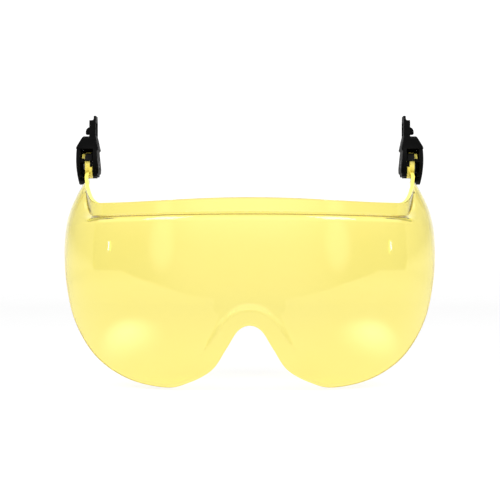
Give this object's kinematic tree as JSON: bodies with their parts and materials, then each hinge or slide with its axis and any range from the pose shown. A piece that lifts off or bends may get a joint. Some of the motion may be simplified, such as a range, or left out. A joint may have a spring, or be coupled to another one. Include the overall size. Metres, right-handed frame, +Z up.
{
  "type": "helmet eye shield",
  "caption": "Clear yellow wrap-round eye shield with a nose cut-out, tilting between two black plug-in side clips for helmet accessory slots.",
  "frame": {"origin": "on the tilt axis, half way between the two clips, with the lens lowered", "axes": "+X to the right as seen from the front, the front faces -Y, +Z up, along the clip blades"},
  "size_m": [0.2136, 0.1293, 0.1544],
  "materials": {
    "yellow_polycarbonate": "clear, polished, tinted yellow",
    "black_nylon": "moulded, fine texture",
    "black_acetal": "moulded, smooth",
    "white_nylon": "punched sheet",
    "spring_steel": "bright, blanked",
    "zinc_steel": "black zinc plated"
  },
  "bodies": {
    "clips": {"clip_body_left": "black_nylon", "clip_body_right": "black_nylon", "outer_cover_left": "black_nylon", "outer_cover_right": "black_nylon", "pivot_bush_left": "black_acetal", "pivot_bush_right": "black_acetal", "thrust_washer_left": "white_nylon", "thrust_washer_right": "white_nylon", "wave_washer_left": "spring_steel", "wave_washer_right": "spring_steel", "pivot_screw_left": "zinc_steel", "pivot_screw_right": "zinc_steel", "pivot_nut_left": "zinc_steel", "pivot_nut_right": "zinc_steel", "cover_screw_left": "zinc_steel", "cover_screw_right": "zinc_steel"},
    "visor": {"lens": "yellow_polycarbonate", "ratchet_hub_left": "black_acetal", "ratchet_hub_right": "black_acetal"},
    "latch_left": {"latch_tongue_left": "black_nylon"},
    "latch_right": {"latch_tongue_right": "black_nylon"},
    "pawl_left": {"detent_pawl_left": "spring_steel"},
    "pawl_right": {"detent_pawl_right": "spring_steel"}
  },
  "joints": [
    {"name": "visor_tilt", "type": "hinge", "parent": "clips", "child": "visor", "pos_m": [0, 0, 0], "axis": [-1, 0, 0], "range_deg": [0, 65]},
    {"name": "latch_press_left", "type": "hinge", "parent": "clips", "child": "latch_left", "pos_m": [-0.09475, 0.002, 0.0247], "axis": [0, -1, 0], "range_deg": [0, 14], "stiffness_Nm_per_rad": 0.3},
    {"name": "latch_press_right", "type": "hinge", "parent": "clips", "child": "latch_right", "pos_m": [0.09475, 0.002, 0.0247], "axis": [0, 1, 0], "range_deg": [0, 14], "stiffness_Nm_per_rad": 0.3},
    {"name": "pawl_flex_left", "type": "hinge", "parent": "clips", "child": "pawl_left", "pos_m": [-0.0944, 0.0082, -0.0012], "axis": [-1, 0, 0], "range_deg": [0, 4], "stiffness_Nm_per_rad": 0.3},
    {"name": "pawl_flex_right", "type": "hinge", "parent": "clips", "child": "pawl_right", "pos_m": [0.0944, 0.0082, -0.0012], "axis": [-1, 0, 0], "range_deg": [0, 4], "stiffness_Nm_per_rad": 0.3}
  ]
}
